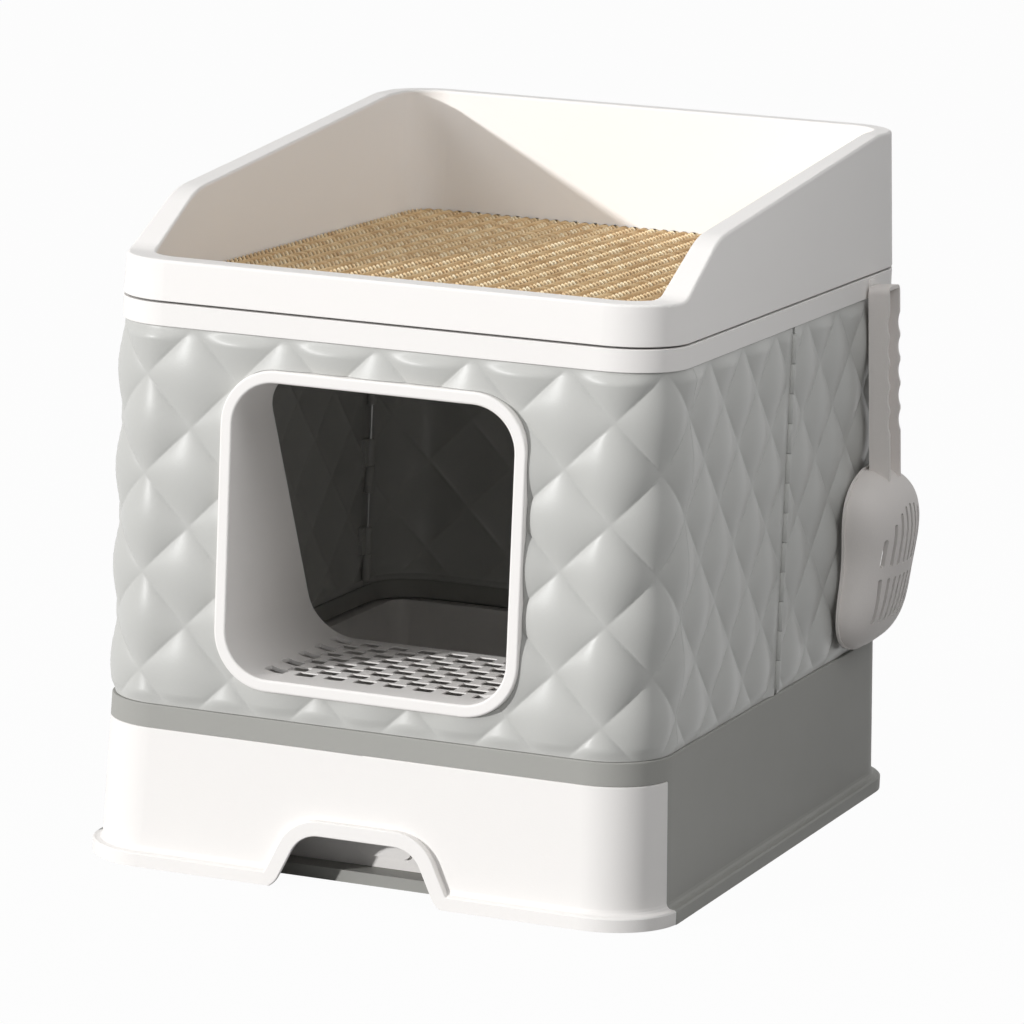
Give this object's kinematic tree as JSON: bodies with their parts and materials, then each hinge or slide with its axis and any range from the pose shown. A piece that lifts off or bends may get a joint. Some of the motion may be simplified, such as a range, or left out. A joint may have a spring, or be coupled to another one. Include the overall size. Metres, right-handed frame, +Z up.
{
  "type": "enclosed litter box",
  "caption": "Enclosed litter box with a pull-out drawer base, quilted folding walls, a front tunnel with perforated step, a lift-off top tray with woven mat, and a hanging slotted scoop.",
  "frame": {"origin": "on the ground, at the middle of the housing's footprint, in the underside of the base floor", "axes": "+X to the right as seen from the front, +Y to the rear, +Z up; the entry and the drawer face -Y"},
  "size_m": [0.4378, 0.506, 0.4675],
  "materials": {
    "white_plastic": "satin moulded white",
    "grey_plastic": "satin moulded grey",
    "quilted_grey": "satin light grey with diamond quilting",
    "warm_grey_plastic": "fine matt warm grey",
    "straw": "woven straw in a herringbone weave",
    "pin_steel": "drawn wire"
  },
  "bodies": {
    "house": {"base_frame": "grey_plastic", "front_panel": "quilted_grey", "back_panel": "quilted_grey", "right_front_panel": "quilted_grey", "right_rear_panel": "quilted_grey", "left_front_panel": "quilted_grey", "left_rear_panel": "quilted_grey", "right_fold_pin": "pin_steel", "left_fold_pin": "pin_steel", "right_front_hinge_pin": "pin_steel", "left_front_hinge_pin": "pin_steel", "right_rear_hinge_pin": "pin_steel", "left_rear_hinge_pin": "pin_steel", "entry_bezel": "white_plastic", "entry_tunnel": "white_plastic", "lid_ring": "white_plastic", "scoop_hook": "white_plastic"},
    "drawer": {"drawer_front": "white_plastic", "litter_pan": "white_plastic"},
    "tray": {"top_tray": "white_plastic", "woven_mat": "straw"},
    "scoop": {"scoop": "warm_grey_plastic"}
  },
  "joints": [
    {"name": "drawer_slide", "type": "slide", "parent": "house", "child": "drawer", "axis": [0, -1, 0], "range_m": [0, 0.4]},
    {"name": "tray_lift", "type": "slide", "parent": "house", "child": "tray", "axis": [0, 0, 1], "range_m": [0, 0.15]},
    {"name": "scoop_lift", "type": "slide", "parent": "house", "child": "scoop", "axis": [0, 0, 1], "range_m": [0, 0.0055]}
  ]
}
